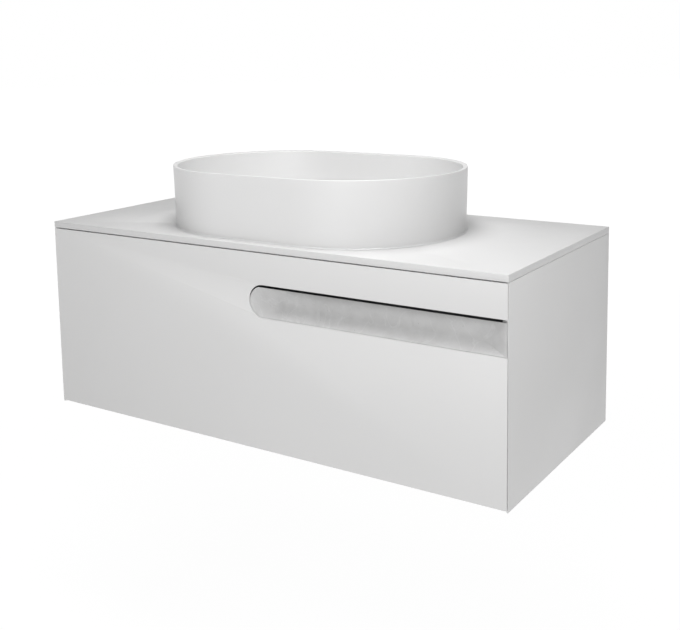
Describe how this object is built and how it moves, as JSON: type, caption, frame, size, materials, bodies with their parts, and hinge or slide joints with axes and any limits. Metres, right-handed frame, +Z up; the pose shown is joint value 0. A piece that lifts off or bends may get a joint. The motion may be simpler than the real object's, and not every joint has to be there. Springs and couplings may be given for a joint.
{
  "type": "vessel sink on vanity",
  "caption": "Wall-hung bathroom vanity: a wide drawer with a slot grip, mitred sides, a thin countertop and a stadium-shaped vessel basin with waste and bottle trap.",
  "frame": {"origin": "middle of the wall rail's back face, on the wall plane, where the vanity hangs", "axes": "+X to the right seen from in front, +Y into the wall, +Z up; the drawer opens along -Y"},
  "size_m": [1, 0.46, 0.5],
  "materials": {
    "lacquer": "matte white lacquer on 18 mm board",
    "top": "satin white solid surface",
    "basin": "satin white",
    "melamine": "white melamine-faced chipboard with edging",
    "concrete": "light grey concrete look, matt",
    "dark_aluminium": "dark anodised",
    "zinc_steel": "bright zinc plated",
    "chrome": "polished chrome on brass",
    "grey_plastic": "moulded grey plastic",
    "white_plastic": "moulded white plastic",
    "rubber": "black rubber",
    "bumper": "clear soft plastic",
    "sealant": "white silicone"
  },
  "bodies": {
    "cabinet": {"left_side_panel": "lacquer", "right_side_panel": "lacquer", "bottom_panel": "melamine", "front_top_rail": "melamine", "hanging_rail": "melamine", "lower_back_rail": "melamine", "countertop": "top", "left_countertop_bracket": "zinc_steel", "right_countertop_bracket": "zinc_steel", "basin": "basin", "basin_sealant": "sealant", "drain_body": "chrome", "drain_top_seal": "rubber", "drain_washer": "rubber", "drain_nut": "chrome", "tailpiece": "chrome", "tailpiece_nut": "chrome", "trap_inlet_nut": "chrome", "trap_body": "chrome", "trap_cup": "chrome", "trap_outlet_nut": "chrome", "trap_outlet_pipe": "chrome", "wall_escutcheon": "chrome", "left_cabinet_rail": "zinc_steel", "right_cabinet_rail": "zinc_steel", "left_soft_close_damper": "grey_plastic", "right_soft_close_damper": "grey_plastic", "wall_rail": "zinc_steel", "left_wall_screw": "zinc_steel", "right_wall_screw": "zinc_steel", "left_hanger_body": "white_plastic", "right_hanger_body": "white_plastic", "left_hanger_hook": "zinc_steel", "right_hanger_hook": "zinc_steel", "left_hanger_cover": "white_plastic", "right_hanger_cover": "white_plastic"},
    "drawer": {"drawer_front_panel": "lacquer", "grip_insert": "concrete", "grip_pocket_profile": "dark_aluminium", "drawer_bottom": "melamine", "cutout_front_wall": "melamine", "drawer_left_side": "melamine", "drawer_right_side": "melamine", "drawer_left_back": "melamine", "drawer_right_back": "melamine", "cutout_left_wall": "melamine", "cutout_right_wall": "melamine", "left_front_bracket": "zinc_steel", "right_front_bracket": "zinc_steel", "left_front_bumper": "bumper", "right_front_bumper": "bumper", "left_drawer_rail": "zinc_steel", "right_drawer_rail": "zinc_steel", "left_damper_striker": "grey_plastic", "right_damper_striker": "grey_plastic"},
    "left_middle_runner": {"left_middle_rail": "zinc_steel"},
    "right_middle_runner": {"right_middle_rail": "zinc_steel"},
    "plug": {"drain_plug": "chrome"}
  },
  "joints": [
    {"name": "drawer_slide", "type": "slide", "parent": "cabinet", "child": "drawer", "axis": [0, -1, 0], "range_m": [0, 0.4]},
    {"name": "left_middle_slide", "type": "slide", "parent": "cabinet", "child": "left_middle_runner", "axis": [0, -1, 0], "range_m": [0, 0.2]},
    {"name": "right_middle_slide", "type": "slide", "parent": "cabinet", "child": "right_middle_runner", "axis": [0, -1, 0], "range_m": [0, 0.2]},
    {"name": "plug_lift", "type": "slide", "parent": "cabinet", "child": "plug", "axis": [0, 0, 1], "range_m": [0, 0.008]}
  ],
  "couplings": [
    {"joint": "left_middle_slide", "follows": "drawer_slide", "ratio": 0.5},
    {"joint": "right_middle_slide", "follows": "drawer_slide", "ratio": 0.5}
  ]
}
